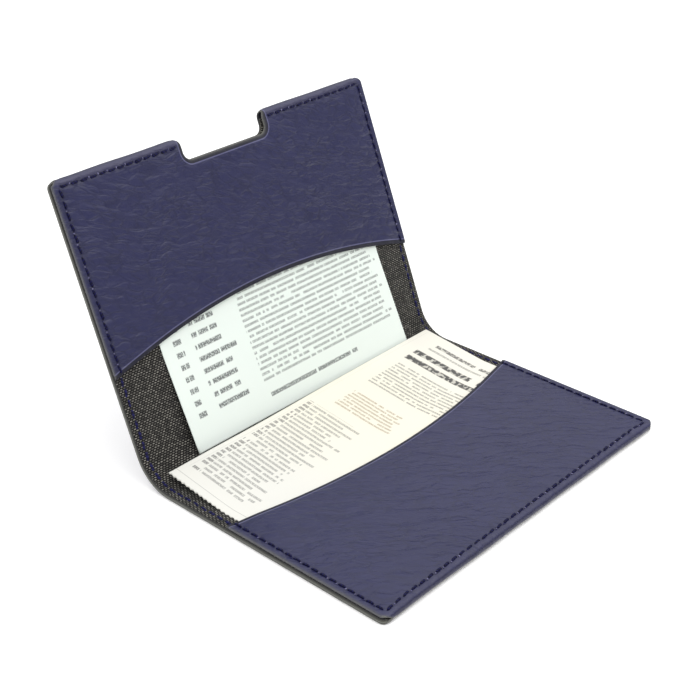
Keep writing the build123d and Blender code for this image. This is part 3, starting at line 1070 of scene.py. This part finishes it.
def certificate_material():
    m = Paint("cream_paper", Roughness=0.66, Specular_IOR_Level=0.3)
    x, d, _ = m.flat()
    tone = m.noise((x * 0.03, d * 0.04), 3.0)
    fibre = m.noise((x * 2.5, d * 2.5), 3.0)
    base = m.mix(x.between(-50.0, 10.0), (0.75, 0.745, 0.70), (0.84, 0.80, 0.68))
    base = m.mix(x.between(20.0, 60.0) * 0.6, base, (0.78, 0.77, 0.72))
    base = m.mix(tone * 0.25, base, (0.75, 0.72, 0.64))
    base = m.mix(ink_of(m, d, x, BROWN_PRINT), base, (0.3, 0.2, 0.09))
    side_rule = (x + 62.0).abs().below(0.12) * 0.35
    top_rule = (d - 6.0).abs().below(0.08) * x.above(-58.0) * 0.14
    ink = ink_of(m, d, x, CERTIFICATE_PRINT) + side_rule + top_rule
    m.colour(m.mix(ink.clamp() * m.value("top"), base, (0.06, 0.06, 0.06)))
    m.bump(fibre, 0.00004, 0.5)
    return m.material


MATERIALS = {
    "leather": leather_material(), "edge": edge_material(), "lining": lining_material(),
    "board": board_material(), "thread": thread_material(), "card": card_material(),
    "certificate": certificate_material(),
}


# ---- on to the frame
def frame_point(s, h):
    """A point of the strip's middle line in metres."""
    return tuple(strip(np.array(0.0), np.array(s), np.array(h)) / MM)


BLEND_S = 6.0  # how far from the middle of the bend two points of the strip's middle line are worked out, unused


def dress(piece, key):
    piece.data.materials.append(MATERIALS[key])


for piece, key, slot in ((leather, "leather", "navy_leather"), (lining, "lining", "lining"),
                         (interliner, "board", "interliner"), (edge_left, "edge", "navy_leather"),
                         (edge_right, "edge", "navy_leather"), (stitching, "thread", "thread")):
    dress(piece, key)
    frame_point(-BLEND_S, -1.0)
    frame_point(BLEND_S, -1.0)
    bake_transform(piece)

dress(card, "card")
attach(card, "card")
frame_point(40.0, 0.2)
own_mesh(card)
for leaf in leaves:
    dress(leaf, "certificate")
    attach(leaf, "certificate")
    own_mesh(leaf)

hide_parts("front_cover", "front_turned_edge", "front_pocket", "rear_cover",
            "rear_turned_edge_left", "rear_turned_edge_right", "rear_pocket")
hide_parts("front_lining", "rear_lining")
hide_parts("front_interliner", "rear_interliner")
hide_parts(*[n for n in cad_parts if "thread" in n])
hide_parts("insurance_card")
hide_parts("folded_certificate")


# ---- floor, light and camera
floor_paint = Paint("pale_floor", Roughness=0.9, Specular_IOR_Level=0.1,
                    Base_Color=(0.93, 0.93, 0.93, 1.0), Emission_Color=(1.0, 0.99, 0.97, 1.0),
                    Emission_Strength=0.2)
FLOOR_HALF, FLOOR_Z = 6.0, -0.00005
floor_mesh = bpy.data.meshes.new("floor")
floor_mesh.from_pydata([(x * FLOOR_HALF, y * FLOOR_HALF, FLOOR_Z)
                        for x, y in ((-1, -1), (1, -1), (1, 1), (-1, 1))], [], [(0, 1, 2, 3)])
floor = bpy.data.objects.new("floor", floor_mesh)
bpy.context.scene.collection.objects.link(floor)
floor_mesh.materials.append(floor_paint.material)

scene = bpy.context.scene
scene.view_settings.view_transform = "Standard"
world = bpy.data.worlds.new("studio")
scene.world = world
world.use_nodes = True
sky = world.node_tree
aim = sky.nodes.new("ShaderNodeTexCoord")
split = sky.nodes.new("ShaderNodeSeparateXYZ")
sky.links.new(aim.outputs["Generated"], split.inputs[0])
glow = Field(sky, split.outputs[2]).between(0.0, 0.75) * 1.35 + 0.14  # brightest overhead
backdrop = Field(sky, sky.nodes.new("ShaderNodeLightPath").outputs["Is Camera Ray"])  # plain white
sky.nodes["Background"].inputs[0].default_value = (1.0, 1.0, 1.0, 1.0)
sky.links.new(glow.maximum(backdrop).socket, sky.nodes["Background"].inputs[1])


def put(name, data, place, direction, roll=0.0):
    """An object that looks along direction with its head up, rolled by a few degrees."""
    thing = bpy.data.objects.new(name, data)
    thing.location = place
    thing.rotation_mode = "QUATERNION"
    turn = Quaternion((0, 0, 1), math.radians(roll))
    thing.rotation_quaternion = direction.to_track_quat("-Z", "Y") @ turn
    scene.collection.objects.link(thing)
    return thing


KEY_PLACE, KEY_TARGET = (0.3, -0.5, 1.0), (0, 0.03, 0.02)
key = bpy.data.lights.new("key", "AREA")
key.size, key.energy = 0.9, 2.6
put("key", key, KEY_PLACE, Vector(KEY_TARGET) - Vector(KEY_PLACE))

# The camera was fitted to the outline of both wings.
CAMERA_PLACE, CAMERA_LOOK = (-0.3012, -0.2415, 0.2561), (0.6487537, 0.5860836, -0.48541184)
lens = bpy.data.cameras.new("camera")
lens.lens, lens.sensor_width = 71.96, 36.0
lens.clip_start, lens.clip_end = 0.01, 50.0
scene.camera = put("camera", lens, CAMERA_PLACE, Vector(CAMERA_LOOK), 0.256)
